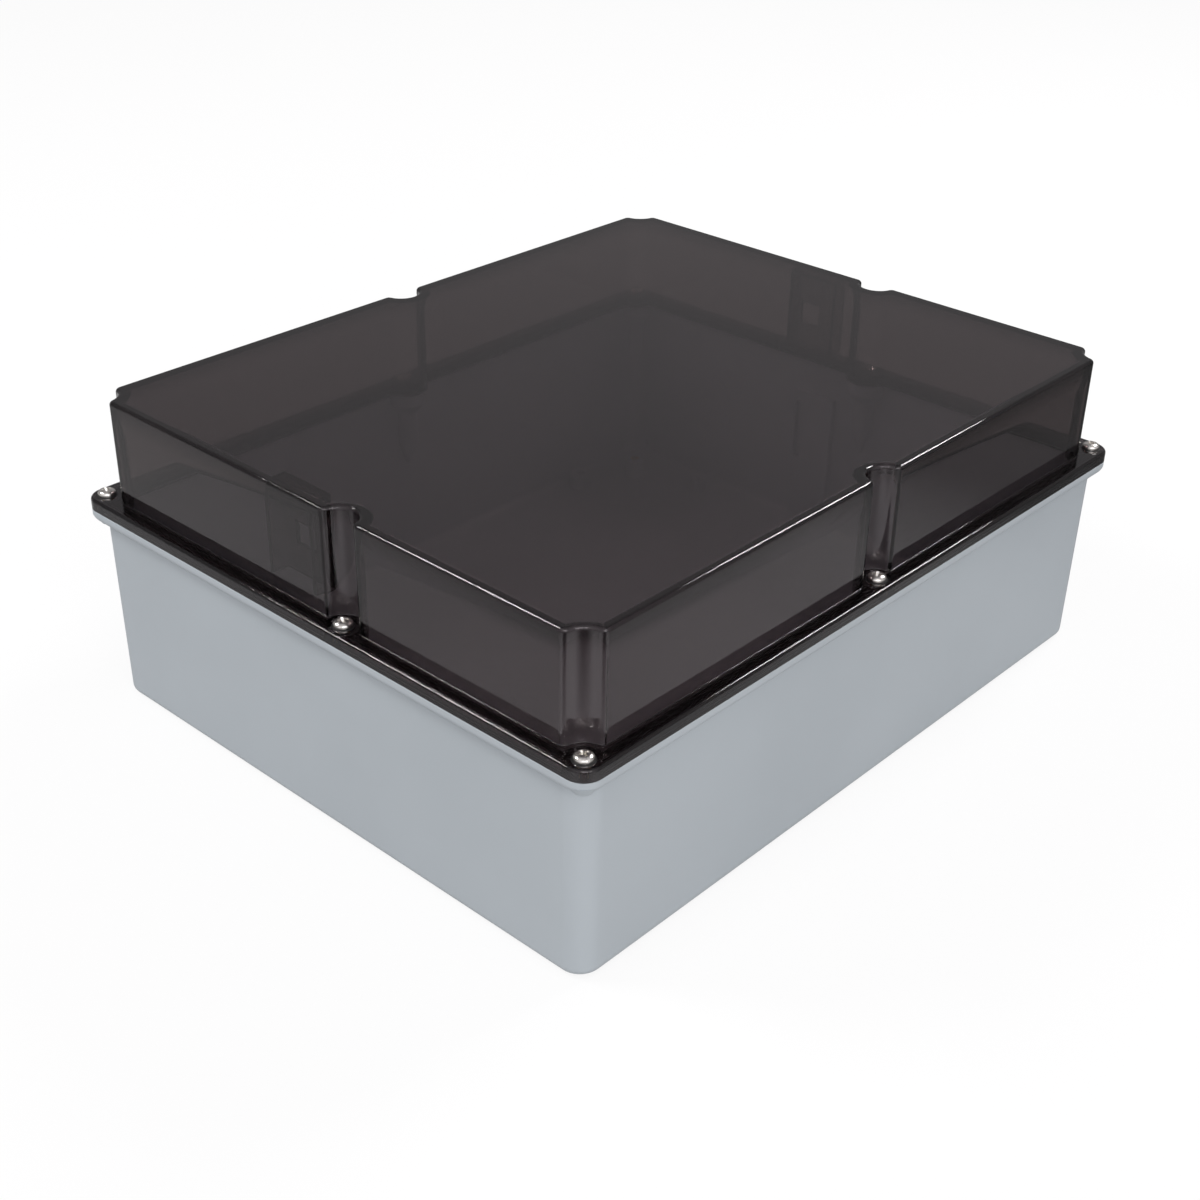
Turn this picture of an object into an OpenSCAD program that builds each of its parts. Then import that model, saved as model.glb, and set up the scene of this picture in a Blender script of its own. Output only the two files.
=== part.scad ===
// Screw-down enclosure with a deep transparent lid that swings on two
// moulded-in pin hinges.  Base and lid are drawn as the mouldings they are,
// with their seal, captive screws, threaded inserts and hinge pins.
//
// Frame: X along the hinge side, Y from the opening side to the hinge side,
// Z up.  The origin is the middle of the wall face under the base.

/* [Case] */
// Length of the case along the hinge side, over the rim
case_l = 460; // [440:5:600]
// Width of the case from the opening side to the hinge side, over the rim
case_w = 380; // [370:5:500]
// Height of the base, up to the seam
base_h = 120; // [100:1:180]
// Height of the lid above the seam
lid_h = 67; // [62:1:100]
// Corner radius of the rim and of the lid flange, seen from above
rim_r = 11; // [9:0.5:14]
// Gap left open at the seam, where the seal is squeezed
seam_gap = 0.3; // [0.2:0.1:0.6]

/* [Base] */
// How far the rim stands out over the base wall
rim_overhang = 5; // [4:0.5:7]
// Height of the rim
rim_h = 8; // [7:0.5:12]
// Radius of the base's vertical corners under the rim
base_r = 14; // [12:0.5:20]
// Draft of the base walls: how much they lean in over the height
base_draft = 1; // [0.5:0.1:2]
// Wall thickness of the base
base_wall = 4; // [3:0.5:5]
// Rounding of the base's lower edge
base_edge_r = 5; // [3:0.5:8]
// Rounding where the inner walls meet the floor
floor_edge_r = 4; // [2:0.5:4.5]

/* [Lid] */
// Thickness of the lid flange
flange_t = 6.7; // [6:0.1:9]
// Rounding of the flange's upper edge
flange_edge_r = 1.6; // [1:0.1:2.5]
// Wall thickness of the lid
lid_wall = 3.2; // [2.5:0.1:4]
// Rounding of the lid's upper edges and of the lips beside the channels
lid_edge_r = 3; // [2:0.1:4]

/* [Screws] */
// Distance of the screws and of the lid wall from the rim's edge
screw_inset = 9.5; // [9:0.1:12]
// Shift of the short sides' middle screws towards the opening side
mid_shift = 20; // [16:1:40]
// Radius of the channels at the corners
corner_channel_r = 12.5; // [11:0.1:14]
// Radius of the channels at the middle of the sides
mid_channel_r = 10.5; // [9:0.1:12]
// Diameter of a screw head
head_d = 10; // [9:0.1:11]
// Height of a screw head
head_h = 3.3; // [2.5:0.1:4]
// Diameter of a screw's shank
shank_d = 4.1; // [3.5:0.1:4.5]
// How far a screw reaches below the seam
screw_reach = 8; // [6:0.5:8]
// Outside diameter of the threaded inserts in the base
insert_d = 7; // [6.8:0.1:7.6]
// Bore of the threaded inserts in the base
insert_bore_d = 5.5; // [5.3:0.1:5.8]

/* [Hinges] */
// Distance of each hinge from the middle of the hinge side
hinge_x = 130; // [70:1:150]
// Length of a hinge over its three knuckles
hinge_l = 60; // [40:1:80]
// Length of the lid's knuckle
lid_knuckle_l = 32; // [20:1:36]
// Distance of the hinge axis behind the rim
hinge_out = 7; // [6.5:0.1:9]
// Distance of the hinge axis below the seam
hinge_drop = 4; // [3.5:0.1:5]
// Radius of the hinge knuckles
knuckle_r = 4.5; // [4:0.1:5]
// Diameter of the hinge pins
pin_d = 4; // [3:0.1:4.5]

/* [Inside] */
// Spacing of the wall fixing holes along X
fix_x = 296; // [250:1:340]
// Spacing of the wall fixing holes along Y
fix_y = 332; // [280:1:334]
// Diameter of the wall fixing holes
fix_d = 6.6; // [5:0.1:8]
// Spacing of the mounting-plate bosses along X
plate_x = 380; // [300:1:390]
// Spacing of the mounting-plate bosses along Y
plate_y = 302; // [240:1:306]
// Thread bore of the mounting-plate inserts
plate_bore_d = 4.2; // [3.3:0.1:5]
// Width of the strap pockets and of the pads below them
strap_w = 36; // [30:1:40]
// Depth of a strap pocket, from the lid wall inwards
strap_depth = 12; // [9:0.5:14]

/* [Hidden] */
eps = 0.01;
round_fn = 64;
small_fn = 48;

half_l = case_l / 2;
half_w = case_w / 2;
top_z = base_h + lid_h;
lid_z = base_h + seam_gap;
flange_top = lid_z + flange_t;

// Screw places: four corners, then the middles of the long and short sides.
SCREW_PLACES = ["front_left", "front_right", "back_left", "back_right",
                "front_middle", "back_middle", "left_middle", "right_middle"];
screw_x = half_l - screw_inset;
screw_y = half_w - screw_inset;
SCREW_XY = [[-screw_x, -screw_y], [screw_x, -screw_y],
            [-screw_x, screw_y], [screw_x, screw_y],
            [0, -screw_y], [0, screw_y],
            [-screw_x, -mid_shift], [screw_x, -mid_shift]];
// Turn that points a channel's inward direction (local +X and +Y at a
// corner, local +Y at a side) into the lid.
SCREW_TURN = [0, 90, 270, 180, 0, 180, 270, 90];
SIDES = ["left", "right"];
SIDE_X = [-1, 1];
PLATE_CORNERS = ["front_left", "front_right", "back_left", "back_right"];
PLATE_XY = [[-plate_x / 2, -plate_y / 2], [plate_x / 2, -plate_y / 2],
            [-plate_x / 2, plate_y / 2], [plate_x / 2, plate_y / 2]];

// Base
wall_in = rim_overhang + base_wall;
rim_z = base_h - rim_h;
boss_bore_depth = screw_reach + 3;
insert_len = 7.5;
insert_top = base_h - 0.5;
boss_r = insert_d / 2 + 3.5;
rim_bump_r = 12.5;
rim_bump_flare = 7;
boss_low = 84;
boss_tip = 68;
corner_boss_r = insert_d / 2 + 1.3;
corner_boss_low = rim_z - 1.5;
corner_boss_h = 6;
rail_x = 408;
rail_y = 206;
collar_r = 7.5;
collar_h = 10;
plate_boss_r = 6.5;
plate_boss_h = 12;
plate_insert_d = 6;
plate_insert_len = 8;
rail_boss_r = 5;
rail_boss_h = 8;
rail_bore_d = 3.4;
dimple_z = 14;
dimple_r = 2;
dimple_from_corner = 16;

// Seal: a groove in the flange, a bead in it and a rib on the rim, all along
// one track that runs outside the case's wall line and inside every screw.
groove_h = 2.7;
track_mid = 7;
track_arc_r = 10;
groove_w = 4;
rib_w = 2;
rib_h = 0.7;
bead_h = 2;

// Lid
cavity_top = top_z - lid_wall;
hole_d = 5.2;
seat_r = 6;
seat_depth = 1;

// Strap pockets and pads
strap_y = 19;
strap_wall = 2.5;
pocket_low = 134;
window = 14;
window_z = 158;
pad_top = 98;
pad_y = 18;
pad_w = 30;
pad_t = 4;
slot_w = 6;
slot_h = 40;
slot_z = 70;

// Hinges
axis_y = half_w + hinge_out;
axis_z = base_h - hinge_drop;
knuckle_gap = 0.3;
pin_fit = 0.05;
lid_pin_fit = 0.07;

// ---- plan shapes ------------------------------------------------------

// Rectangle with rounded corners, set in from the rim's outline.
module plan(inset, r) {
    l = case_l - 2 * inset;
    w = case_w - 2 * inset;
    square([l - 2 * r, w], center = true);
    square([l, w - 2 * r], center = true);
    for (sx = [-1, 1], sy = [-1, 1])
        translate([sx * (l / 2 - r), sy * (w / 2 - r)]) circle(r, $fn = round_fn);
}

// Plan with a circle taken out round every screw.
module plan_round_screws(inset, r, corner_r, side_r) {
    difference() {
        plan(inset, r);
        for (i = [0 : 7])
            translate(SCREW_XY[i]) circle(i < 4 ? corner_r : side_r, $fn = round_fn);
    }
}

// Band of a given width along the seal's track.
module track(width) {
    difference() {
        plan_round_screws(track_mid - width / 2, rim_r - track_mid / 2,
                          track_arc_r - width / 2, track_arc_r - width / 2);
        plan_round_screws(track_mid + width / 2, rim_r - track_mid,
                          track_arc_r + width / 2, track_arc_r + width / 2);
    }
}

// Half-round channel in a wall, with a rounded lip on each side.  The wall
// runs along local X; the channel's centre is on the wall's face.
module channel_plan(r, corner) {
    lip_x = sqrt(pow(r + lid_edge_r, 2) - pow(lid_edge_r, 2));
    out = 20;
    lips = corner ? [[lip_x, lid_edge_r], [lid_edge_r, lip_x]]
                  : [[lip_x, lid_edge_r], [-lip_x, lid_edge_r]];
    mouth = corner
        ? [[-out, -out], [lip_x, -out], [lip_x, lid_edge_r], [0, 0], [lid_edge_r, lip_x], [-out, lip_x]]
        : [[-lip_x, -out], [lip_x, -out], [lip_x, lid_edge_r], [0, 0], [-lip_x, lid_edge_r]];
    difference() {
        union() {
            circle(r, $fn = round_fn);
            polygon(mouth);
        }
        for (p = lips) translate(p) circle(lid_edge_r, $fn = small_fn);
    }
}

// Outline of the lid at a given distance inside its wall face.
module lid_plan_inset(d) {
    difference() {
        square([case_l - 2 * (screw_inset + d), case_w - 2 * (screw_inset + d)], center = true);
        for (i = [0 : 7])
            translate(SCREW_XY[i])
                circle((i < 4 ? corner_channel_r : mid_channel_r) + d, $fn = round_fn);
    }
}

// ---- solids -----------------------------------------------------------

// Lower half of a disc, the profile of a rounded lower edge.
module half_disc(r) {
    intersection() {
        circle(r, $fn = small_fn);
        translate([-r, -r]) square([2 * r, r]);
    }
}

// Slab whose lower edge is rounded all round.
module rolled_slab(inset, r, h, edge) {
    l = case_l - 2 * inset;
    w = case_w - 2 * inset;
    linear_extrude(h) plan(inset + edge, r - edge);
    translate([0, 0, edge]) linear_extrude(h - edge) plan(inset, r);
    for (sy = [-1, 1])
        translate([0, sy * (w / 2 - edge), edge]) rotate([90, 0, 90])
            linear_extrude(l - 2 * r, center = true) half_disc(edge);
    for (sx = [-1, 1])
        translate([sx * (l / 2 - edge), 0, edge]) rotate([90, 0, 0])
            linear_extrude(w - 2 * r, center = true) half_disc(edge);
    for (sx = [-1, 1], sy = [-1, 1])
        translate([sx * (l / 2 - r), sy * (w / 2 - r), edge])
            rotate_extrude($fn = round_fn) intersection() {
                translate([r - edge, 0]) half_disc(edge);
                translate([0, -edge]) square([r, edge]);
            }
}

// Block with rounded corners that widens upwards by the draft.
module drafted_block(inset, r, h, draft) {
    l = case_l - 2 * inset;
    w = case_w - 2 * inset;
    for (sx = [-1, 1], sy = [-1, 1])
        translate([sx * (l / 2 - r), sy * (w / 2 - r), 0])
            cylinder(r1 = r, r2 = r + draft, h = h, $fn = round_fn);
    rotate([90, 0, 0]) linear_extrude(w - 2 * r, center = true)
        polygon([[-l / 2, 0], [l / 2, 0], [l / 2 + draft, h], [-l / 2 - draft, h]]);
    rotate([90, 0, 90]) linear_extrude(l - 2 * r, center = true)
        polygon([[-w / 2, 0], [w / 2, 0], [w / 2 + draft, h], [-w / 2 - draft, h]]);
}

// Boss in the base that carries one screw insert: a column under the rim
// that flares into a round pad and tapers away down the wall.
module screw_boss(xy) {
    translate([xy[0], xy[1], rim_z]) cylinder(r = rim_bump_r, h = rim_h + 1, $fn = round_fn);
    translate([xy[0], xy[1], rim_z - rim_bump_flare])
        cylinder(r1 = boss_r, r2 = rim_bump_r, h = rim_bump_flare, $fn = round_fn);
    translate([xy[0], xy[1], boss_low])
        cylinder(r = boss_r, h = rim_z - rim_bump_flare - boss_low, $fn = round_fn);
    translate([xy[0], xy[1], boss_tip])
        cylinder(r1 = 1, r2 = boss_r, h = boss_low - boss_tip, $fn = round_fn);
}

// Raised pad on a short wall with the slot that takes a strap's end.
module strap_pad(side) {
    wall_x = half_l - wall_in;
    difference() {
        translate([side > 0 ? wall_x - pad_t : -wall_x - 4, pad_y - pad_w / 2, base_wall - eps])
            cube([pad_t + 4, pad_w, pad_top - base_wall]);
        translate([side * (wall_x - pad_t), pad_y + pad_w / 2 - slot_w, slot_z])
            cube([2 * (pad_t - 1), slot_w, slot_h], center = true);
    }
}

// Everything that stands inside the base.
module base_furniture() {
    for (p = SCREW_XY) screw_boss(p);
    for (s = SIDE_X) strap_pad(s);
    for (sx = [-1, 1], sy = [-1, 1]) {
        translate([sx * fix_x / 2, sy * fix_y / 2, 0])
            cylinder(r = collar_r, h = base_wall + collar_h, $fn = small_fn);
        translate([sx * rail_x / 2, sy * rail_y / 2, 0])
            cylinder(r = rail_boss_r, h = base_wall + rail_boss_h, $fn = small_fn);
    }
    for (p = PLATE_XY)
        translate([p[0], p[1], 0]) cylinder(r = plate_boss_r, h = base_wall + plate_boss_h, $fn = small_fn);
}

// Inner space of the base, before anything stands in it.
module base_cavity() {
    inset = rim_overhang + base_draft + base_wall;
    r = base_r - base_draft - base_wall;
    translate([0, 0, base_wall]) rolled_slab(inset, r, 2 * floor_edge_r, floor_edge_r);
    translate([0, 0, base_wall + floor_edge_r])
        drafted_block(inset, r, base_h - base_wall - floor_edge_r + 1, base_draft);
}

// Knuckle of the hinge: a barrel on the axis with its web, along X.
module knuckle(length, web) {
    rotate([90, 0, 90]) linear_extrude(length, center = true) union() {
        translate([axis_y, axis_z]) circle(knuckle_r, $fn = small_fn);
        polygon(web);
    }
}

module base_knuckles(x) {
    outer_l = (hinge_l - lid_knuckle_l) / 2 - knuckle_gap;
    web = [[half_w - rim_overhang - 2, axis_z - 12], [axis_y + 1.5, axis_z - knuckle_r + 0.3],
           [axis_y, axis_z], [half_w, base_h - 0.6], [half_w - 3, base_h - 0.6],
           [half_w - rim_overhang - 2, rim_z]];
    for (s = [-1, 1])
        translate([x + s * (hinge_l - outer_l) / 2, 0, 0]) knuckle(outer_l, web);
}

module lid_knuckle(x) {
    web = [[half_w - 2, flange_top - flange_edge_r], [half_w - 2, lid_z + 0.4], [half_w + 0.8, lid_z + 0.4],
           [axis_y - 3.6, axis_z + 2.4], [axis_y, axis_z], [axis_y + 3.4, axis_z + 2.8],
           [axis_y + 0.6, lid_z + 1.4], [half_w + 1.6, flange_top - flange_edge_r]];
    translate([x, 0, 0]) knuckle(lid_knuckle_l, web);
}

// ---- sub-parts --------------------------------------------------------

module base() {
    color([0.66, 0.68, 0.71]) difference() {
        union() {
            difference() {
                union() {
                    rolled_slab(rim_overhang + base_draft, base_r - base_draft, 2 * base_edge_r, base_edge_r);
                    translate([0, 0, base_edge_r])
                        drafted_block(rim_overhang + base_draft, base_r - base_draft,
                                      rim_z + rim_overhang - base_edge_r, base_draft);
                    translate([0, 0, rim_z]) rolled_slab(0, rim_r, rim_h, rim_overhang);
                    for (i = [0 : 3])
                        translate([SCREW_XY[i][0], SCREW_XY[i][1], corner_boss_low])
                            cylinder(r1 = corner_boss_r, r2 = screw_inset - 0.5,
                                     h = corner_boss_h, $fn = round_fn);
                }
                difference() {
                    base_cavity();
                    base_furniture();
                }
            }
            translate([0, 0, base_h - eps]) linear_extrude(rib_h + eps) track(rib_w);
            for (s = SIDE_X) base_knuckles(s * hinge_x);
        }
        for (p = SCREW_XY) {
            translate([p[0], p[1], base_h - boss_bore_depth])
                cylinder(d = insert_bore_d, h = boss_bore_depth + 1, $fn = small_fn);
            translate([p[0], p[1], insert_top - insert_len])
                cylinder(d = insert_d, h = insert_len + 2, $fn = small_fn);
        }
        for (p = PLATE_XY)
            translate([p[0], p[1], base_wall + plate_boss_h - plate_insert_len])
                cylinder(d = plate_insert_d, h = plate_insert_len + 1, $fn = small_fn);
        for (sx = [-1, 1], sy = [-1, 1]) {
            translate([sx * fix_x / 2, sy * fix_y / 2, -1])
                cylinder(d = fix_d, h = base_wall + collar_h + 2, $fn = small_fn);
            translate([sx * rail_x / 2, sy * rail_y / 2, base_wall])
                cylinder(d = rail_bore_d, h = rail_boss_h + 1, $fn = small_fn);
            translate([sx * (half_l - wall_in - dimple_from_corner),
                       sy * (half_w - wall_in - base_draft), dimple_z])
                rotate([90, 0, 0]) cylinder(r = dimple_r, h = 3, center = true, $fn = 24);
            translate([sx * (half_l - wall_in - base_draft),
                       sy * (half_w - wall_in - dimple_from_corner), dimple_z])
                rotate([0, 90, 0]) cylinder(r = dimple_r, h = 3, center = true, $fn = 24);
        }
        for (s = SIDE_X)
            translate([s * hinge_x, axis_y, axis_z]) rotate([0, 90, 0])
                cylinder(r = pin_d / 2 + pin_fit, h = hinge_l + 2, center = true, $fn = small_fn);
    }
}

// Lid above its flange: a block with rounded upper edges, with the
// channels for the screws cut down its sides.
module lid_skin() {
    l = case_l - 2 * screw_inset;
    w = case_w - 2 * screw_inset;
    r = lid_edge_r;
    difference() {
        union() {
            translate([-l / 2, -w / 2, lid_z + 1]) cube([l, w, top_z - r - lid_z - 1]);
            translate([r - l / 2, r - w / 2, lid_z + 1]) cube([l - 2 * r, w - 2 * r, top_z - lid_z - 1]);
            for (s = [-1, 1]) {
                translate([0, s * (w / 2 - r), top_z - r]) rotate([0, 90, 0])
                    cylinder(r = r, h = l - 2, center = true, $fn = small_fn);
                translate([s * (l / 2 - r), 0, top_z - r]) rotate([90, 0, 0])
                    cylinder(r = r, h = w - 2, center = true, $fn = small_fn);
            }
        }
        translate([0, 0, lid_z]) linear_extrude(lid_h + 1) for (i = [0 : 7])
            translate(SCREW_XY[i]) rotate(SCREW_TURN[i])
                channel_plan(i < 4 ? corner_channel_r : mid_channel_r, i < 4);
    }
}

module lid() {
    color([0.25, 0.24, 0.25, 0.6]) difference() {
        union() {
            lid_skin();
            translate([0, 0, flange_top]) mirror([0, 0, 1]) rolled_slab(0, rim_r, flange_t, flange_edge_r);
            for (s = SIDE_X) lid_knuckle(s * hinge_x);
        }
        translate([0, 0, lid_z - 1]) linear_extrude(cavity_top - lid_z + 1) lid_plan_inset(lid_wall);
        translate([0, 0, lid_z - 1]) linear_extrude(groove_h + 1) track(groove_w);
        for (p = SCREW_XY) {
            translate([p[0], p[1], lid_z - 1]) cylinder(d = hole_d, h = flange_t + 2, $fn = small_fn);
            translate([p[0], p[1], flange_top - seat_depth])
                cylinder(r = seat_r, h = seat_depth + 1, $fn = small_fn);
        }
        for (s = SIDE_X)
            translate([s * hinge_x, axis_y, axis_z]) rotate([0, 90, 0])
                cylinder(r = pin_d / 2 + lid_pin_fit, h = hinge_l, center = true, $fn = small_fn);
    }
}

module lid_gasket() {
    color([0.12, 0.12, 0.13])
        translate([0, 0, lid_z + groove_h - bead_h]) linear_extrude(bead_h) track(groove_w);
}

// Pan-head screw, seated on the flange, turned in one piece.
module lid_screw(i) {
    r = head_d / 2;
    crown = 12;
    tip_z = base_h - screw_reach;
    color([0.78, 0.79, 0.8]) translate([SCREW_XY[i][0], SCREW_XY[i][1], 0]) difference() {
        union() {
            translate([0, 0, flange_top]) intersection() {
                cylinder(r = r, h = head_h, $fn = small_fn);
                translate([0, 0, head_h - crown]) sphere(crown, $fn = 96);
            }
            translate([0, 0, tip_z]) cylinder(d = shank_d, h = flange_top - tip_z + 1, $fn = small_fn);
        }
        for (a = [0, 90])
            translate([0, 0, flange_top + head_h]) rotate(a) cube([5.2, 1.1, 3.6], center = true);
    }
}

module screw_washer(i) {
    color([0.1, 0.1, 0.1])
        translate([SCREW_XY[i][0], SCREW_XY[i][1], flange_top - seat_depth]) difference() {
            cylinder(r = seat_r - 0.2, h = seat_depth, $fn = small_fn);
            translate([0, 0, -1]) cylinder(d = shank_d + 0.8, h = seat_depth + 2, $fn = small_fn);
        }
}

// Brass insert: a plain outside, a through bore.
module threaded_insert(xy, low, length, outer_d, bore_d) {
    color([0.78, 0.62, 0.3]) translate([xy[0], xy[1], low]) difference() {
        cylinder(d = outer_d, h = length, $fn = small_fn);
        translate([0, 0, -1]) cylinder(d = bore_d, h = length + 2, $fn = small_fn);
    }
}

// Pocket inside the lid for the end of a strap: a plate with a window, two
// cheeks that reach the wall, and a roof against the lid's ceiling.
module strap_pocket(side) {
    wall_x = half_l - screw_inset - lid_wall;
    h = cavity_top - pocket_low;
    color([0.22, 0.21, 0.23, 0.7]) scale([side, 1, 1]) difference() {
        translate([wall_x - strap_depth, strap_y - strap_w / 2, pocket_low]) cube([strap_depth, strap_w, h]);
        translate([wall_x - strap_depth + strap_wall, strap_y - strap_w / 2 + strap_wall, pocket_low - 1])
            cube([strap_depth, strap_w - 2 * strap_wall, h - strap_wall + 1]);
        translate([wall_x - strap_depth, strap_y, window_z])
            cube([4 * strap_wall, window, window], center = true);
    }
}

module hinge_pin(side) {
    color([0.75, 0.76, 0.78]) translate([side * hinge_x, axis_y, axis_z]) rotate([0, 90, 0])
        cylinder(d = pin_d, h = hinge_l - 1, center = true, $fn = small_fn);
}

// ---- assembly ---------------------------------------------------------

base();
lid();
lid_gasket();
for (i = [0 : 7]) {
    lid_screw(i);
    screw_washer(i);
    threaded_insert(SCREW_XY[i], insert_top - insert_len, insert_len, insert_d, insert_bore_d);
}
for (i = [0 : 3])
    threaded_insert(PLATE_XY[i], base_wall + plate_boss_h - plate_insert_len,
                        plate_insert_len, plate_insert_d, plate_bore_d);
for (i = [0 : 1]) {
    strap_pocket(SIDE_X[i]);
    hinge_pin(SIDE_X[i]);
}
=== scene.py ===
# %% [markdown]
# # A hinged enclosure with a smoke-tinted transparent lid
# The object is a wall box moulded in polycarbonate: a deep grey tray, a clear
# lid tinted like smoked glass, eight steel screws round the rim, and two pin
# hinges along the back.  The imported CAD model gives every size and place.  This
# lesson dresses it: each moulding gets its rolled edges, each metal part its
# finish.

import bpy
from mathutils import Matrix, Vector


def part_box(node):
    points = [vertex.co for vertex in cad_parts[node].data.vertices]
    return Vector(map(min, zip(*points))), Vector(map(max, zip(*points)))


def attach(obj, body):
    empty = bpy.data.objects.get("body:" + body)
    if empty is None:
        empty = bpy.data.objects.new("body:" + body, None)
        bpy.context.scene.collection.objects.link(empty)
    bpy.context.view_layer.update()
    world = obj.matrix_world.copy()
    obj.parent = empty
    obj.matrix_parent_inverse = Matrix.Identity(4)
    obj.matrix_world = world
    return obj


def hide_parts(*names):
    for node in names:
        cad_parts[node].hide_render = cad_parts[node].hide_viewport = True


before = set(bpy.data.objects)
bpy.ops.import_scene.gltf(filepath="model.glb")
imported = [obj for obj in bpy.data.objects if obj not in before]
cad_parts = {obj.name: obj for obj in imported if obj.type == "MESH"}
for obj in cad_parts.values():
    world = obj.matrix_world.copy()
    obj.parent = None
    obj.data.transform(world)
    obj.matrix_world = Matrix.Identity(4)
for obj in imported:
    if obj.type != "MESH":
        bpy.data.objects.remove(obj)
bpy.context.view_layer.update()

# %% [markdown]
# ## Names for the sizes
# Such a box is drawn in millimetres, so the pieces are too, and each point is
# scaled to metres as it is made.  The outer sizes could be typed in again, but
# they are read back from the CAD nodes, so that the two can't drift apart.

# %% Sizes from the model
import math

import bmesh
import bpy
from mathutils import Matrix, Vector
from mathutils.kdtree import KDTree

MM = 0.001


def node_box_mm(name):
    low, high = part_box(name)
    return [c / MM for c in low], [c / MM for c in high]


lid_low, lid_high = node_box_mm("lid")
half_l = lid_high[0]
half_w = -lid_low[1]
SEAM = 120.0
LID_FOOT = SEAM + 0.3
FLANGE_TOP = LID_FOOT + 6.7
LID_TOP = lid_high[2]
SCREW_INSET = 9.5
screw_x = half_l - SCREW_INSET
screw_y = half_w - SCREW_INSET
MID_SHIFT = 20.0
print("rim", 2 * half_l, "x", 2 * half_w, "lid top", LID_TOP)

# %% [markdown]
# ## Camera
# A product view from above the front corner.  The lens is a little longer than
# normal, so the sides converge gently.  A camera could be aimed by a Track To
# constraint, but three angles also allow the slight roll of a hand-held one:
# how far it is turned, tipped and rolled.

# %% Camera
EYE = Vector((-0.6802, -0.6034, 0.5732))
TURN, TIP, ROLL = (math.radians(a) for a in (47.91, 30.37, 1.11))

back = Vector((-math.sin(TURN) * math.cos(TIP), -math.cos(TURN) * math.cos(TIP), math.sin(TIP)))
side = Vector((0, 0, 1)).cross(back).normalized()
up = back.cross(side)
cam_x = side * math.cos(ROLL) + up * math.sin(ROLL)
cam_y = up * math.cos(ROLL) - side * math.sin(ROLL)

camera_data = bpy.data.cameras.new("camera")
camera_data.lens = 52.81
camera_data.sensor_width = 36.0
camera = bpy.data.objects.new("camera", camera_data)
camera.matrix_world = Matrix((
    (cam_x[0], cam_y[0], back[0], EYE[0]),
    (cam_x[1], cam_y[1], back[1], EYE[1]),
    (cam_x[2], cam_y[2], back[2], EYE[2]),
    (0, 0, 0, 1)))
bpy.context.scene.collection.objects.link(camera)
bpy.context.scene.camera = camera
print("camera at", [round(c, 3) for c in EYE])

# %% [markdown]
# ## Colours and nodes
# Paint charts give colours as hex values, and shaders work in linear light, so
# one function converts.  Another adds a node with its settings and its links
# in one line, which keeps each material short enough to read at a glance.

# %% Colour and node helpers


def linear(hex_value):
    out = []
    for shift in (16, 8, 0):
        c = ((hex_value >> shift) & 255) / 255
        out.append(c / 12.92 if c <= 0.04045 else ((c + 0.055) / 1.055) ** 2.4)
    return (*out, 1.0)


def add(tree, kind, links=None, **settings):
    """Add a node; settings name its properties or its input sockets."""
    made = tree.nodes.new(kind)
    for key, value in settings.items():
        if hasattr(made, key):
            setattr(made, key, value)
        else:
            made.inputs[key.replace("_", " ")].default_value = value
    for socket, source in (links or {}).items():
        tree.links.new(source, made.inputs[socket])
    return made


def new_material(name):
    made = bpy.data.materials.new(name)
    made.use_nodes = True
    made.node_tree.nodes.clear()
    return made, made.node_tree


def close_material(tree, surface, volume=None):
    out = tree.nodes.new("ShaderNodeOutputMaterial")
    tree.links.new(surface, out.inputs["Surface"])
    if volume is not None:
        tree.links.new(volume, out.inputs["Volume"])


print("mid grey 0x808080 is", round(linear(0x808080)[0], 3), "in linear light")

# %% [markdown]
# ## Grey polycarbonate
# The base is injection-moulded in a light, slightly blue grey.  The mould was
# spark-eroded to a very fine satin, so the walls shine softly and show no
# grain from a metre away, only the faint cloudiness of the melt's flow.  One
# noise could do both, but flow and grain differ a hundredfold in scale, so
# each has its own: the flow moves colour and roughness, the grain is a bump.
# The grain is 0.6 mm, twice as coarse as the real one, so that it shows.

# %% Base material
GRAIN_MM = 0.6


def moulded_grey():
    made, tree = new_material("polycarbonate_moulded_satin_grey")
    place = add(tree, "ShaderNodeTexCoord").outputs["Object"]
    flow = add(tree, "ShaderNodeTexNoise", {"Vector": place}, Scale=9.0, Detail=3.0, Roughness=0.5)
    grain = add(tree, "ShaderNodeTexNoise", {"Vector": place}, Scale=1 / (GRAIN_MM * MM), Detail=2.0)
    tint = add(tree, "ShaderNodeValToRGB", {"Fac": flow.outputs["Fac"]})
    tint.color_ramp.elements[0].position = 0.3
    tint.color_ramp.elements[0].color = linear(0xB2BABF)
    tint.color_ramp.elements[1].position = 0.7
    tint.color_ramp.elements[1].color = linear(0xB7BFC4)
    rough = add(tree, "ShaderNodeMapRange", {"Value": flow.outputs["Fac"]}, To_Min=0.40, To_Max=0.48)
    bump = add(tree, "ShaderNodeBump", {"Height": grain.outputs["Fac"]}, Strength=0.06, Distance=0.0002)
    shader = add(tree, "ShaderNodeBsdfPrincipled",
                 {"Base Color": tint.outputs["Color"], "Roughness": rough.outputs["Result"],
                  "Normal": bump.outputs["Normal"]}, IOR=1.5)
    close_material(tree, shader.outputs["BSDF"])
    return made


grey = moulded_grey()
print("made", grey.name)

# %% [markdown]
# ## Smoke-tinted polycarbonate
# The lid is the same resin without filler: clear, with a dye that takes the
# same share of light from every millimetre it crosses.  So the thin walls look
# like sunglasses, while the thick flange and every edge seen end-on look
# black.  That is what volume absorption does, so the dye goes in the volume
# and the surface stays clear and polished.  For shadow rays the surface is
# plainly transparent, so that lamplight reaches the inside.

# %% Lid material
SMOKE_DENSITY = 470.0  # per metre


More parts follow.
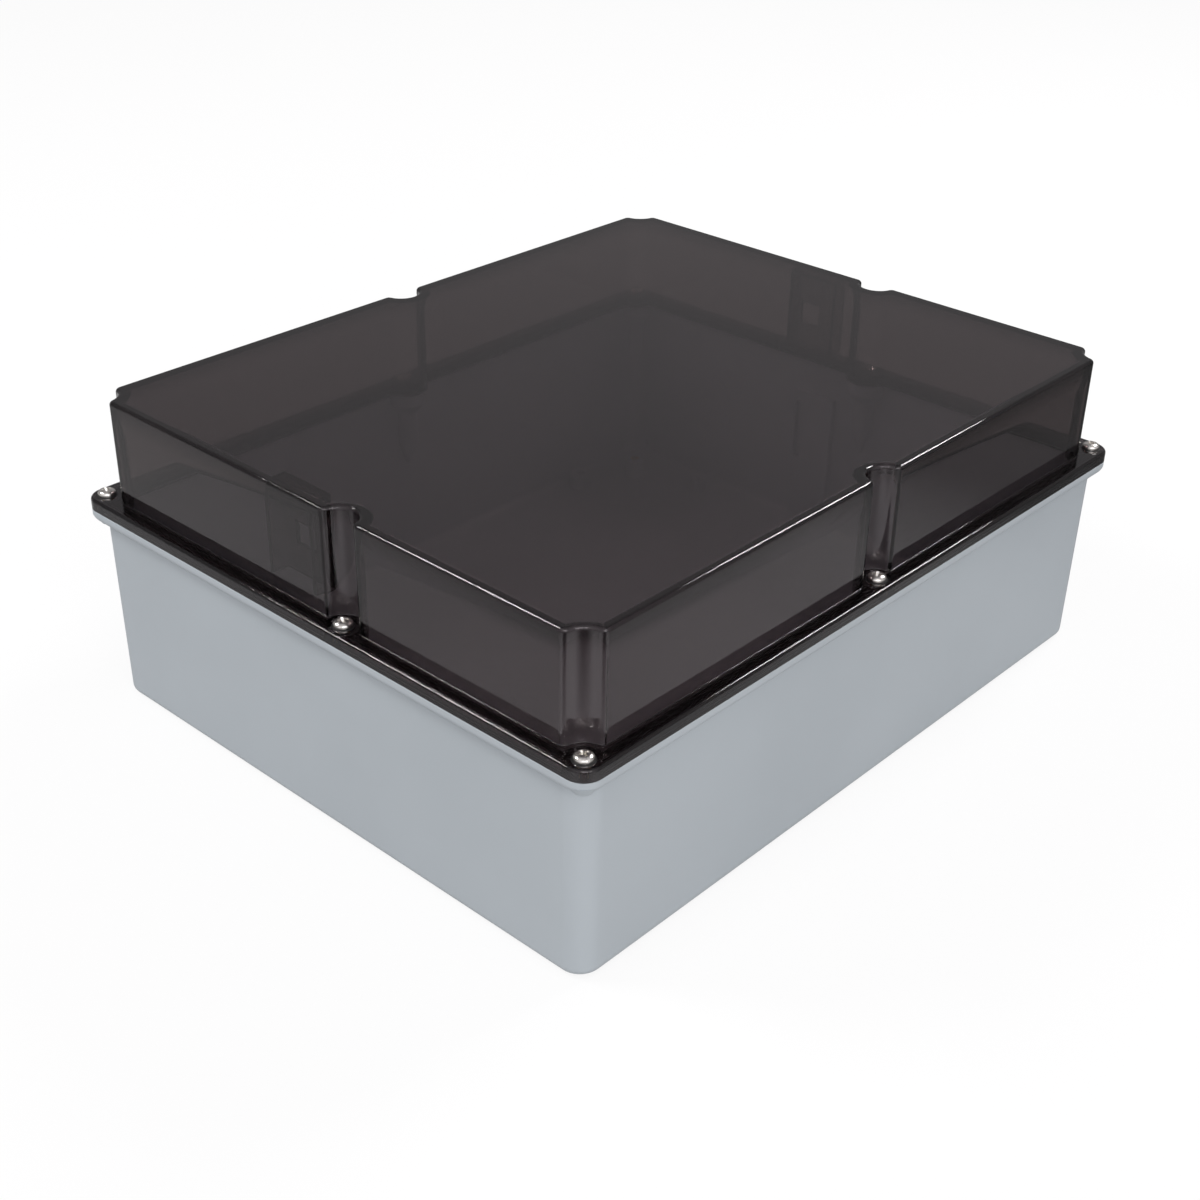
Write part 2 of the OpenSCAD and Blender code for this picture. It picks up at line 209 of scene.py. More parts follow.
def smoked_clear():
    made, tree = new_material("polycarbonate_polished_smoke_tint")
    place = add(tree, "ShaderNodeTexCoord").outputs["Object"]
    ripple = add(tree, "ShaderNodeTexNoise", {"Vector": place}, Scale=9.0, Detail=1.0, Roughness=0.3)
    dust = add(tree, "ShaderNodeTexNoise", {"Vector": place}, Scale=420.0, Detail=3.0, Roughness=0.6)
    haze = add(tree, "ShaderNodeMapRange", {"Value": dust.outputs["Fac"]},
               From_Min=0.45, From_Max=0.75, To_Min=0.02, To_Max=0.06)
    bump = add(tree, "ShaderNodeBump", {"Height": ripple.outputs["Fac"]}, Strength=0.018, Distance=0.001)
    shader = add(tree, "ShaderNodeBsdfPrincipled",
                 {"Roughness": haze.outputs["Result"], "Normal": bump.outputs["Normal"]},
                 Base_Color=linear(0xF4F0EE), IOR=1.55, Transmission_Weight=1.0,
                 Specular_Tint=linear(0xFFF8FC))
    clear = add(tree, "ShaderNodeBsdfTransparent", Color=linear(0xF0F0F0))
    path = add(tree, "ShaderNodeLightPath")
    mix = add(tree, "ShaderNodeMixShader",
              {0: path.outputs["Is Shadow Ray"], 1: shader.outputs["BSDF"], 2: clear.outputs["BSDF"]})
    dye = add(tree, "ShaderNodeVolumeAbsorption", Color=linear(0x99888C), Density=SMOKE_DENSITY)
    close_material(tree, mix.outputs["Shader"], dye.outputs["Volume"])
    return made


smoke = smoked_clear()
print("made", smoke.name)

# %% [markdown]
# ## Metals and rubber
# The screws and hinge pins are stainless steel, cold-headed and tumbled
# bright.  The threaded inserts are turned brass.  Under each screw head lies a
# nitrile washer, and the seal is a black polyurethane foam bead.  The metals
# differ only in colour, gloss and the pitch of their marks, and the two
# rubbers in colour and the size of their cells, so each family has one
# function instead of a material drawn for every part.

# %% Metal and rubber materials


def metal(name, light, dark, roughness, pitch_mm):
    made, tree = new_material(name)
    place = add(tree, "ShaderNodeTexCoord").outputs["Object"]
    marks = add(tree, "ShaderNodeTexNoise", {"Vector": place}, Scale=1 / (pitch_mm * MM), Detail=3.0)
    tint = add(tree, "ShaderNodeValToRGB", {"Fac": marks.outputs["Fac"]})
    tint.color_ramp.elements[0].position = 0.35
    tint.color_ramp.elements[0].color = linear(dark)
    tint.color_ramp.elements[1].position = 0.6
    tint.color_ramp.elements[1].color = linear(light)
    rough = add(tree, "ShaderNodeMapRange", {"Value": marks.outputs["Fac"]},
                To_Min=roughness - 0.06, To_Max=roughness + 0.08)
    shader = add(tree, "ShaderNodeBsdfPrincipled",
                 {"Base Color": tint.outputs["Color"], "Roughness": rough.outputs["Result"]},
                 Metallic=1.0)
    close_material(tree, shader.outputs["BSDF"])
    return made


def cellular(name, light, dark, roughness, cell_mm, depth_mm):
    made, tree = new_material(name)
    place = add(tree, "ShaderNodeTexCoord").outputs["Object"]
    cells = add(tree, "ShaderNodeTexVoronoi", {"Vector": place}, Scale=1 / (cell_mm * MM))
    tint = add(tree, "ShaderNodeValToRGB", {"Fac": cells.outputs["Distance"]})
    tint.color_ramp.elements[0].color = linear(dark)
    tint.color_ramp.elements[1].color = linear(light)
    bump = add(tree, "ShaderNodeBump", {"Height": cells.outputs["Distance"]},
               Strength=0.3, Distance=depth_mm * MM)
    shader = add(tree, "ShaderNodeBsdfPrincipled",
                 {"Base Color": tint.outputs["Color"], "Normal": bump.outputs["Normal"]},
                 Roughness=roughness, IOR=1.5)
    close_material(tree, shader.outputs["BSDF"])
    return made


steel = metal("stainless_steel_tumbled", 0xE6E4E0, 0xC4C1BC, 0.22, 1.2)
pin_steel = metal("stainless_steel_drawn", 0xDAD8D4, 0xB9B7B3, 0.26, 0.8)
brass = metal("brass_turned", 0xE3C67E, 0xC29B50, 0.28, 0.7)
nitrile = cellular("nitrile_moulded_black", 0x1E1E1F, 0x141415, 0.5, 0.4, 0.02)
foam = cellular("polyurethane_foam_black", 0x2B2B2D, 0x18181A, 0.85, 0.5, 0.1)
print("made", steel.name, pin_steel.name, brass.name, nitrile.name, foam.name)

# %% [markdown]
# ## Drawing and stacking outlines
# A moulding is a stack of outlines.  A circle with one vertex for each point
# of the outline is added, its points are dragged onto the outline, and then
# its face is extruded and dragged to the next outline, again and again.  A
# box with bevels would be quicker, but this gives clean strips of quads that
# follow every fillet and every channel exactly.

# %% Outline tools


def deselect():
    if bpy.context.mode != "OBJECT":
        bpy.ops.object.mode_set(mode="OBJECT")
    bpy.ops.object.select_all(action="DESELECT")


def arc(centre, radius, start, end, steps):
    """Points of an arc in degrees, from start to end, both included."""
    points = []
    for i in range(steps + 1):
        a = math.radians(start + (end - start) * i / steps)
        points.append((centre[0] + radius * math.cos(a), centre[1] + radius * math.sin(a)))
    return points


def drag(verts, old, new, height):
    """Move the vertices that lie on the old outline to the new one."""
    tree = KDTree(len(old))
    for i, (x, y) in enumerate(old):
        tree.insert((x, y, 0), i)
    tree.balance()
    for v in verts:
        _, i, _ = tree.find((v.co.x / MM, v.co.y / MM, 0))
        v.co = Vector((new[i][0] * MM, new[i][1] * MM, height * MM))


def stack(name, rings):
    """Closed solid through outlines [(points, height), ...], from first to last."""
    deselect()
    count = len(rings[0][0])
    bpy.ops.mesh.primitive_circle_add(vertices=count, radius=1.0, fill_type="NGON")
    made = bpy.context.object
    made.name = name
    bpy.ops.object.mode_set(mode="EDIT")
    mesh = bmesh.from_edit_mesh(made.data)
    mesh.verts.ensure_lookup_table()
    for v, (x, y) in zip(mesh.verts, rings[0][0]):
        v.co = Vector((x * MM, y * MM, rings[0][1] * MM))
    previous = rings[0][0]
    for points, height in rings[1:]:
        bpy.ops.mesh.extrude_region_move()
        mesh = bmesh.from_edit_mesh(made.data)
        drag([v for v in mesh.verts if v.select], previous, points, height)
        previous = points
    bpy.ops.mesh.select_all(action="SELECT")
    bpy.ops.mesh.normals_make_consistent(inside=False)
    bpy.ops.object.mode_set(mode="OBJECT")
    return made


def ring(centre, radius, points):
    """Full circle as an outline, without repeating its first point."""
    return arc(centre, radius, 0, 360 - 360 / points, points - 1)


def turned_post(name, place, profile, points=48):
    """Round post or hole from its profile [(radius, height), ...], bottom up."""
    return stack(name, [(ring(place, radius, points), z) for radius, z in profile])


def box_block(name, low, high):
    outline = [(low[0], low[1]), (high[0], low[1]), (high[0], high[1]), (low[0], high[1])]
    return stack(name, [(outline, low[2]), (outline, high[2])])


print("a quarter arc of radius 2 ends at", [round(c, 3) for c in arc((0, 0), 2, 0, 90, 4)[-1]])

# %% [markdown]
# ## Cutting, joining and finishing
# On the real tool, cores and pins leave the holes.  Here a second solid does:
# it is joined to the piece or cut out of it and thrown away.  Faces could be
# opened by hand instead, but a boolean lets a drill stay a plain round post.
# Finishing is the same for every piece: its place goes into its mesh, faces
# under an angle are smoothed over, and weighted normals keep flat faces flat.

# %% Shop tools


def use_modifier(piece, kind, **settings):
    deselect()
    bpy.context.view_layer.objects.active = piece
    piece.select_set(True)
    made = piece.modifiers.new(kind.lower(), kind)
    for key, value in settings.items():
        setattr(made, key, value)
    bpy.ops.object.modifier_apply(modifier=made.name)


def combine(piece, tool, how):
    """Join, cut or trim a piece by a tool, which is then thrown away."""
    use_modifier(piece, "BOOLEAN", object=tool, operation=how, solver="EXACT")
    bpy.data.objects.remove(tool, do_unlink=True)


def put_together(pieces):
    """Make one object of several."""
    deselect()
    for p in pieces:
        p.select_set(True)
    bpy.context.view_layer.objects.active = pieces[0]
    bpy.ops.object.join()
    return bpy.context.object


def settle(piece):
    """Place, turn and scale go into the mesh."""
    deselect()
    piece.select_set(True)
    bpy.context.view_layer.objects.active = piece
    bpy.ops.object.transform_apply(location=True, rotation=True, scale=True)


def dress(piece, material, body, *nodes, slot=None, angle=32):
    """Smooth shading, finish, body and the CAD nodes the piece stands for."""
    settle(piece)
    bpy.ops.object.shade_smooth_by_angle(angle=math.radians(angle))
    use_modifier(piece, "WEIGHTED_NORMAL", keep_sharp=True, weight=80)
    piece.data.materials.clear()
    piece.data.materials.append(material)
    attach(piece, body)
    if nodes:
        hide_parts(*nodes)
    print(piece.name, len(piece.data.polygons), "faces")


# %% [markdown]
# ## Outlines of the two mouldings
# The rim is a rectangle with round corners.  The lid's wall is a rectangle
# too, but it steps in round each screw in a half-round channel with a rolled
# lip on each side, so that a screwdriver can reach the head.  Each outline is
# a function of how far it lies inside the outer face.  Cutting the channels
# with drills would be quicker, but then wall, fillets and hollow wouldn't
# follow one another.

# %% Outlines
LIP_R = 3.8
LEAST_ROLL = 1.5
CORNER_CHANNEL_R = 12.5
MID_CHANNEL_R = 10.5
FLANGE_R = 11.0
CORNER_STEPS = 14
MID_STEPS = 24
LIP_STEPS = 8


def rim_outline(inset, radius):
    x, y = half_l - inset - radius, half_w - inset - radius
    points = []
    for centre, start in (((x, -y), -90), ((x, y), 0), ((-x, y), 90), ((-x, -y), 180)):
        points += arc(centre, radius, start, start + 90, CORNER_STEPS)
    return points


def channel(radius, inset, corner, steps):
    """One channel, its centre at 0,0 and the case inwards of it, at +Y."""
    lip = max(LIP_R, inset + LEAST_ROLL)
    turn = math.degrees(math.asin(lip / (radius + lip)))
    reach = (radius + lip) * math.cos(math.radians(turn))
    roll = lip - inset
    start = (lip, reach) if corner else (-reach, lip)
    first = (180, 270 - turn) if corner else (-90, -turn)
    bend = (90 - turn, turn) if corner else (180 - turn, turn)
    return (arc(start, roll, *first, LIP_STEPS) + arc((0, 0), radius + inset, *bend, steps)[1:-1]
            + arc((reach, lip), roll, 180 + turn, 270, LIP_STEPS))


def turned(points, quarter_turns, centre):
    out = []
    for x, y in points:
        for _ in range(quarter_turns):
            x, y = -y, x
        out.append((x + centre[0], y + centre[1]))
    return out


# name, place, quarter turns that point its channel into the lid, at a corner?
SCREWS = [
    ("front_left", (-screw_x, -screw_y), 0, True),
    ("front_middle", (0.0, -screw_y), 0, False),
    ("front_right", (screw_x, -screw_y), 1, True),
    ("right_middle", (screw_x, -MID_SHIFT), 1, False),
    ("back_right", (screw_x, screw_y), 2, True),
    ("back_middle", (0.0, screw_y), 2, False),
    ("back_left", (-screw_x, screw_y), 3, True),
    ("left_middle", (-screw_x, -MID_SHIFT), 3, False),
]


def wall_outline(inset):
    points = []
    for _, place, quarter_turns, corner in SCREWS:
        radius, steps = (CORNER_CHANNEL_R, CORNER_STEPS) if corner else (MID_CHANNEL_R, MID_STEPS)
        points += turned(channel(radius, inset, corner, steps), quarter_turns, place)
    return points


def fillet(steps):
    """Pairs (sin, 1 - cos) that walk round a quarter circle."""
    return [(y, 1 - x) for x, y in arc((0, 0), 1, 0, 90, steps)]


print("wall outline has", len(wall_outline(0)), "points")

# %% [markdown]
# ## The lid
# Three solids make the lid: the flange, the wall that stands on it, and the
# hollow that is taken out.  The top edge rolls over with a 2.2 mm radius, the
# flange with 1.8 mm, because molten plastic doesn't fill sharp corners and a
# sharp corner would crack.  Inside, the wall thickens towards the ceiling and
# meets it in a fillet.  That thick corner is what turns the upper edge dark,
# so it is modelled: a Bevel modifier rolls edges but thickens nothing.

# %% Lid shell
LID_ROLL = 2.2
FLANGE_ROLL = 1.8
FOOT_FILLET = 0.4
LID_WALL = 3.2
INNER_ROLL = 1.5
WALL_TOP = 5.8
SWELL_H = 12.0
SWELL_STEPS = 8
WALL_SUNK = 3.0  # how far the wall reaches into the flange
FOOT_LIFT = 0.02  # keeps the fillet's end off the flange's face
PAST = 1.0  # how far a cutter stands past what it cuts


def flange_block():
    rings = [(rim_outline(0.0, FLANGE_R), LID_FOOT)]
    for s, c in fillet(6):
        rings.append((rim_outline(FLANGE_ROLL * c, FLANGE_R - FLANGE_ROLL * c),
                      FLANGE_TOP - FLANGE_ROLL + FLANGE_ROLL * s))
    return stack("lid_shell", rings)


def wall_block():
    rings = [(wall_outline(-FOOT_FILLET), FLANGE_TOP - WALL_SUNK)]
    for s, c in fillet(5):
        rings.append((wall_outline(-FOOT_FILLET * (1 - s)), FLANGE_TOP + FOOT_LIFT + FOOT_FILLET * c))
    for s, c in fillet(7):
        rings.append((wall_outline(LID_ROLL * c), LID_TOP - LID_ROLL + LID_ROLL * s))
    return stack("wall_block", rings)


def hollow_block(clear=0.0):
    """The lid's inner space, or one that keeps clear of its walls."""
    top = LID_TOP - LID_WALL - clear
    rings = [(wall_outline(LID_WALL + clear), LID_FOOT - 2 * PAST)]
    for i in range(SWELL_STEPS + 1):
        share = i / SWELL_STEPS
        thick = LID_WALL + (WALL_TOP - LID_WALL) * share ** 2
        rings.append((wall_outline(thick + clear), top - INNER_ROLL - SWELL_H * (1 - share)))
    for s, c in fillet(5)[1:]:
        rings.append((wall_outline(WALL_TOP + clear + INNER_ROLL * c),
                      top - INNER_ROLL + INNER_ROLL * s))
    return stack("hollow_block", rings)


lid_shell = flange_block()
combine(lid_shell, wall_block(), "UNION")
combine(lid_shell, hollow_block(), "DIFFERENCE")
print("lid shell", len(lid_shell.data.polygons), "faces")

# %% [markdown]
# ## Holes, seats and seal groove in the flange
# Each screw passes a clear hole and clamps a washer in a shallow seat.  The
# groove on the underside holds the foam bead.  It runs round the rim and bows
# inwards round every screw, so that no screw hole lets water past the seal.
# The track could be drawn as one long outline, but it is easier as a wide
# plate minus a narrower one, each with a disc cut out at every screw.

# %% Holes and groove
SCREW_HOLE_R = 2.6
SEAT_R = 6.0
SEAT_DEPTH = 1.0
TRACK_MID = 7.0
TRACK_OUTER_R = 7.5
TRACK_INNER_R = 4.0
BOW_R = 10.0
GROOVE_W = 4.0
GROOVE_H = 2.7


def stepped_drill(place):
    seat = FLANGE_TOP - SEAT_DEPTH
    profile = [(SCREW_HOLE_R, LID_FOOT - PAST), (SCREW_HOLE_R, seat),
               (SEAT_R, seat), (SEAT_R, FLANGE_TOP + PAST)]
    return turned_post("drill", place, profile, 40)


def seal_ring(name, width, low, high):
    """Ring along the seal's track: round the rim, and inside of every screw."""
    outer = stack(name, [(rim_outline(TRACK_MID - width / 2, TRACK_OUTER_R), z) for z in (low, high)])
    inner = stack("inner", [(rim_outline(TRACK_MID + width / 2, TRACK_INNER_R), z)
                            for z in (low - PAST, high + PAST)])
    for radius, shape in ((BOW_R - width / 2, outer), (BOW_R + width / 2, inner)):
        discs = [turned_post("disc", place, [(radius, low - 2 * PAST), (radius, high + 2 * PAST)])
                 for _, place, _, _ in SCREWS]
        combine(shape, put_together(discs), "DIFFERENCE")
    combine(outer, inner, "DIFFERENCE")
    return outer


combine(lid_shell, put_together([stepped_drill(p) for _, p, _, _ in SCREWS]), "DIFFERENCE")
combine(lid_shell, seal_ring("groove", GROOVE_W, LID_FOOT - PAST, LID_FOOT + GROOVE_H), "DIFFERENCE")
print("with holes and groove", len(lid_shell.data.polygons), "faces")

# %% [markdown]
# ## Hinge knuckles
# The hinge is moulded with the box: two outer knuckles on the base, one on the
# lid between them, and a steel pin through all three.  A knuckle is a barrel
# on the axis with a web that carries it.  A hinge could be a separate metal
# part, but a moulded one costs nothing and can't rust.  Its outline is drawn
# looking along the axis, stacked, laid down along X, and its edges are eased.

# %% Knuckle shapes
AXIS_Y = half_w + 7.0
AXIS_Z = SEAM - 4.0
HINGE_X = 130.0
HINGE_L = 60.0
LID_KNUCKLE_L = 32.0
KNUCKLE_R = 4.5
KNUCKLE_EASE = 0.35
BASE_PIN_BORE_R = 2.05
LID_PIN_BORE_R = 2.07
BASE_WEB = [(half_w - 7, AXIS_Z - 12), (AXIS_Y + 1.5, AXIS_Z - 4.2), (AXIS_Y, AXIS_Z),
            (half_w, SEAM - 0.6), (half_w - 3, SEAM - 0.6), (half_w - 7, SEAM - 8)]
LID_WEB = [(half_w - 2, FLANGE_TOP - 1.6), (half_w - 2, LID_FOOT + 0.4), (half_w + 0.8, LID_FOOT + 0.4),
           (AXIS_Y - 3.6, AXIS_Z + 2.4), (AXIS_Y, AXIS_Z), (AXIS_Y + 3.4, AXIS_Z + 2.8),
           (AXIS_Y + 0.6, LID_FOOT + 1.4), (half_w + 1.6, FLANGE_TOP - 1.6)]
TO_X = Matrix(((0, 0, 1, 0), (1, 0, 0, 0), (0, 1, 0, 0), (0, 0, 0, 1)))


def along_x(name, outline, middle, length):
    piece = stack(name, [(outline, middle - length / 2), (outline, middle + length / 2)])
    piece.matrix_world = TO_X
    settle(piece)
    return piece


def ease_edges(piece, width):
    use_modifier(piece, "BEVEL", width=width * MM, segments=2, limit_method="ANGLE",
                 angle_limit=math.radians(50))


def knuckle(name, web, middle, length):
    piece = along_x(name, ring((AXIS_Y, AXIS_Z), KNUCKLE_R, 48), middle, length)
    combine(piece, along_x("web", web, middle, length), "UNION")
    ease_edges(piece, KNUCKLE_EASE)
    return piece


def pin_drill(middle, length, radius):
    return along_x("pin_drill", ring((AXIS_Y, AXIS_Z), radius, 40), middle, length + 2 * PAST)


print("hinge axis at", AXIS_Y, AXIS_Z)

# %% [markdown]
# ## Closing the lid
# The lid's knuckles are moulded on, so they are joined to the flange and then
# drilled.  They could be left as loose shells inside it, but light crosses
# this piece, and a hidden skin inside clear plastic would show.

# %% Knuckles and finish of the lid
for hinge_x in (-HINGE_X, HINGE_X):
    combine(lid_shell, knuckle("lid_knuckle", LID_WEB, hinge_x, LID_KNUCKLE_L), "UNION")
    combine(lid_shell, pin_drill(hinge_x, LID_KNUCKLE_L, LID_PIN_BORE_R), "DIFFERENCE")
dress(lid_shell, smoke, "lid", "lid", slot="lid")

# %% [markdown]
# ## The base tray
# One outline is walked up the outside: a rounded foot, walls that lean out by
# a millimetre so that the moulding leaves its tool, and an S-curve out to the
# rim.  The hollow is a second stack.  A Solidify modifier could make the wall
# from the outside alone, but the floor's inner round has its own radius.

# %% Base body
FOOT_ROLL = 5.0
FOOT_INSET, FOOT_R = 11.0, 8.0
NECK_INSET, NECK_R = 5.05, 13.95
RIM_H = 8.0
RIM_EASE = 0.4
SWELL_FOOT = SEAM - RIM_H - 1.0
OVERHANG = 5.0
RIM_SWEEP = 75
RIM_HOLLOW_R = 2.0
RIM_ROUND_R = OVERHANG / (1 - math.cos(math.radians(RIM_SWEEP))) - RIM_HOLLOW_R
FLOOR_T = 4.0
FLOOR_ROLL = 4.0
HOLLOW_INSET, HOLLOW_R = 14.0, 5.0
MOUTH_INSET, MOUTH_R, MOUTH_LEAN = 9.0, 10.0, 0.01


def rim_swell():
    """Reach and rise of the curve from the wall out to the rim's face."""
    first = arc((RIM_HOLLOW_R, 0), RIM_HOLLOW_R, 180, 180 - RIM_SWEEP, 5)
    end = first[-1][1] + RIM_ROUND_R * math.sin(math.radians(RIM_SWEEP))
    return first + arc((OVERHANG - RIM_ROUND_R, end), RIM_ROUND_R, -RIM_SWEEP, 0, 8)[1:]


def base_block():
    rings = [(rim_outline(FOOT_INSET - FOOT_ROLL * s, FOOT_R + FOOT_ROLL * s), FOOT_ROLL * c)
             for s, c in fillet(8)]
    for reach, rise in rim_swell():
        share = reach / OVERHANG
        rings.append((rim_outline(NECK_INSET * (1 - share), NECK_R + (FLANGE_R - NECK_R) * share),
                      SWELL_FOOT + rise))
    for s, c in fillet(3):
        rings.append((rim_outline(RIM_EASE * c, FLANGE_R - RIM_EASE * c), SEAM - RIM_EASE * (1 - s)))
    return stack("base_tray", rings)


def base_hollow():
    rings = [(rim_outline(HOLLOW_INSET - FLOOR_ROLL * s, HOLLOW_R + FLOOR_ROLL * s),
              FLOOR_T + FLOOR_ROLL * c) for s, c in fillet(6)]
    rings.append((rim_outline(MOUTH_INSET + MOUTH_LEAN, MOUTH_R - MOUTH_LEAN), SEAM))
    rings.append((rim_outline(MOUTH_INSET, MOUTH_R), SEAM + 2 * PAST))
    return stack("base_hollow", rings)


print("the rim's outer round has radius", round(RIM_ROUND_R, 2))

# %% [markdown]
# ## What stands in the base
# Each screw has a boss under the rim: a column that flares into a pad and
# dies away down the wall.  On the floor stand bosses for a mounting plate and
# for rails, and collars round the wall screws.  Each of them could be added to
# the tray, but then some would bulge through the outer wall.  So they are cut
# out of the hollow, and the hollow is then cut out of the body.

# %% Inside of the base
PLATE = [(sx * 190.0, sy * 151.0) for sx in (-1, 1) for sy in (-1, 1)]
FIXING = [(sx * 148.0, sy * 166.0) for sx in (-1, 1) for sy in (-1, 1)]
RAIL = [(sx * 204.0, sy * 103.0) for sx in (-1, 1) for sy in (-1, 1)]
SCREW_BOSS = [(1, 68), (7, 84), (7, 105), (12.5, 112), (12.5, 123)]
PLATE_BOSS = [(6.9, 3), (6.5, 15.6), (6.1, 16)]
FIXING_COLLAR = [(7.9, 3), (7.5, 13.6), (7.1, 14)]
RAIL_BOSS = [(5.4, 3), (5.0, 11.6), (4.6, 12)]
PAD_FACE, PAD_BACK = half_l - 13.0, half_l - 5.0
PAD_Y, PAD_Z, PAD_EASE = (3.0, 33.0), (2.0, 98.0), 0.8
SLOT_Y, SLOT_Z, SLOT_DEPTH = (27.0, 32.2), (50.0, 90.0), 3.0


def strap_pad(side):
    """Pad on a short side's inner wall, with a slot for the strap's other end."""
    x = sorted((side * PAD_FACE, side * PAD_BACK))
    pad = box_block("pad", (x[0], PAD_Y[0], PAD_Z[0]), (x[1], PAD_Y[1], PAD_Z[1]))
    use_modifier(pad, "BEVEL", width=PAD_EASE * MM, segments=3)
    x = sorted((side * (PAD_FACE - PAST), side * (PAD_FACE + SLOT_DEPTH)))
    slot = box_block("slot", (x[0], SLOT_Y[0], SLOT_Z[0]), (x[1], SLOT_Y[1], SLOT_Z[1]))
    combine(pad, slot, "DIFFERENCE")
    return pad


posts = [turned_post("screw_boss", place, SCREW_BOSS, 64) for _, place, _, _ in SCREWS]
for name, places, profile in (("plate_boss", PLATE, PLATE_BOSS), ("fixing_collar", FIXING, FIXING_COLLAR),
                              ("rail_boss", RAIL, RAIL_BOSS)):
    posts += [turned_post(name, place, profile) for place in places]
posts += [strap_pad(-1), strap_pad(1)]

base_tray = base_block()
hollow = base_hollow()
combine(hollow, put_together(posts), "DIFFERENCE")
combine(base_tray, hollow, "DIFFERENCE")
print("base tray", len(base_tray.data.polygons), "faces")

# %% [markdown]
# ## Rib, corner cones and bores
# The seal rib runs round the rim, outside the case's opening but inside every
# screw.  At the corners the screw sits outside the wall, so a short cone
# carries its insert under the rim.  Shallow dimples low in the corners mark
# where the tool's pins pushed the moulding out.  All bores are drilled last
# and in one cut, because every boolean on the whole tray takes its time.

# %% Rib, cones and bores
RIB_W = 2.0
RIB_TOP = SEAM + 0.7
RIB_SUNK = 0.5
CORNER_CONE = [(4.8, 110.5), (5.0, 110.8), (9.0, 116.5)]
INSERT_BORE = [(2.75, 109), (2.75, 112), (3.5, 112), (3.5, 121.5)]
PLATE_BORE = [(3.0, 8), (3.0, 17)]
FIXING_BORE = [(3.3, -1), (3.3, 15)]
RAIL_BORE = [(1.7, 4.05), (1.7, 13)]
DIMPLE = [(2.0, -1.5), (2.0, 1.5)]
DIMPLE_Z = 14.0


def side_drill(x, y, axis):
    """Short level hole for a dimple in the wall, near the floor."""
    piece = turned_post("dimple", (0, 0), DIMPLE, 24)
    piece.matrix_world = (Matrix.Translation((x * MM, y * MM, DIMPLE_Z * MM))
                          @ Matrix.Rotation(math.radians(90), 4, axis))
    settle(piece)
    return piece


cones = [turned_post("corner_cone", place, CORNER_CONE) for _, place, _, corner in SCREWS if corner]
combine(base_tray, put_together(cones), "UNION")
combine(base_tray, seal_ring("rib", RIB_W, SEAM - RIB_SUNK, RIB_TOP), "UNION")
drills = [turned_post("insert_bore", place, INSERT_BORE) for _, place, _, _ in SCREWS]
for name, places, profile in (("plate_bore", PLATE, PLATE_BORE), ("fixing_bore", FIXING, FIXING_BORE),
                              ("rail_bore", RAIL, RAIL_BORE)):
    drills += [turned_post(name, place, profile) for place in places]
for x, y, axis in ((205.0, 180.0, "X"), (220.0, 165.0, "Y")):
    drills += [side_drill(sx * x, sy * y, axis) for sx in (-1, 1) for sy in (-1, 1)]
combine(base_tray, put_together(drills), "DIFFERENCE")
print("with rib and bores", len(base_tray.data.polygons), "faces")

# %% [markdown]
# ## Knuckles of the base
# The outer knuckles grow from the back wall just under the rim.  They could be
# joined by a boolean as the lid's are, but that notches the large flat wall
# face and smooth shading then draws dark wedges on it.  The base is opaque, so
# the drilled knuckles may be closed shells that reach into the wall.

# %% Knuckles and finish of the base
OUTER_KNUCKLE_L = (HINGE_L - LID_KNUCKLE_L) / 2 - 0.3
grown = [base_tray]
for hinge_x in (-HINGE_X, HINGE_X):
    for end in (-1, 1):
        middle = hinge_x + end * (HINGE_L - OUTER_KNUCKLE_L) / 2
        outer = knuckle("base_knuckle", BASE_WEB, middle, OUTER_KNUCKLE_L)
        combine(outer, pin_drill(middle, OUTER_KNUCKLE_L, BASE_PIN_BORE_R), "DIFFERENCE")
        grown.append(outer)
base_tray = put_together(grown)
dress(base_tray, grey, "base", "base", slot="base")

# %% [markdown]
# ## Screws
# The lid is held by pan-head screws with a cross recess, modelled once and
# copied.  The head is turned from a profile, and the recess is a cross that
# narrows as it goes down.  The thread could be a bump in the material, but it
# shows from the side when the lid is open, so it is a true helix: each ring
# of the stack is a little further round.

# %% Screw
SCREW_TIP = SEAM - 8.0
THREAD_R, ROOT_R, PITCH = 2.05, 1.7, 0.8
THREAD_POINTS = 28
THREAD_RINGS = 70
POINT_RINGS = 6
HEAD = [(4.75, 0.0), (4.95, 0.15), (5.0, 0.5), (4.98, 1.3), (4.85, 1.75), (4.6, 2.15),
        (4.2, 2.5), (3.6, 2.82), (2.9, 3.05), (2.0, 3.2), (1.0, 3.28)]
HEAD_TOP = FLANGE_TOP + 3.3


def thread_ring(z, grown):
    """One ring of the thread; grown goes from 0 at the root to 1, full depth."""
    points = []
    for i in range(THREAD_POINTS):
        turn = i / THREAD_POINTS
        saw = abs(((z / PITCH - turn) % 1.0) - 0.5) * 2
        r = ROOT_R + (THREAD_R - ROOT_R) * min(1.0, saw * 1.25) * grown
        points.append((r * math.cos(2 * math.pi * turn), r * math.sin(2 * math.pi * turn)))
    return points, z


def cross(arm, half_width):
    """Outline of a cross recess."""
    a, b = arm, half_width
    return [(a, -b), (a, b), (b, b), (b, a), (-b, a), (-b, b), (-a, b), (-a, -b),
            (-b, -b), (-b, -a), (b, -a), (b, -b)]


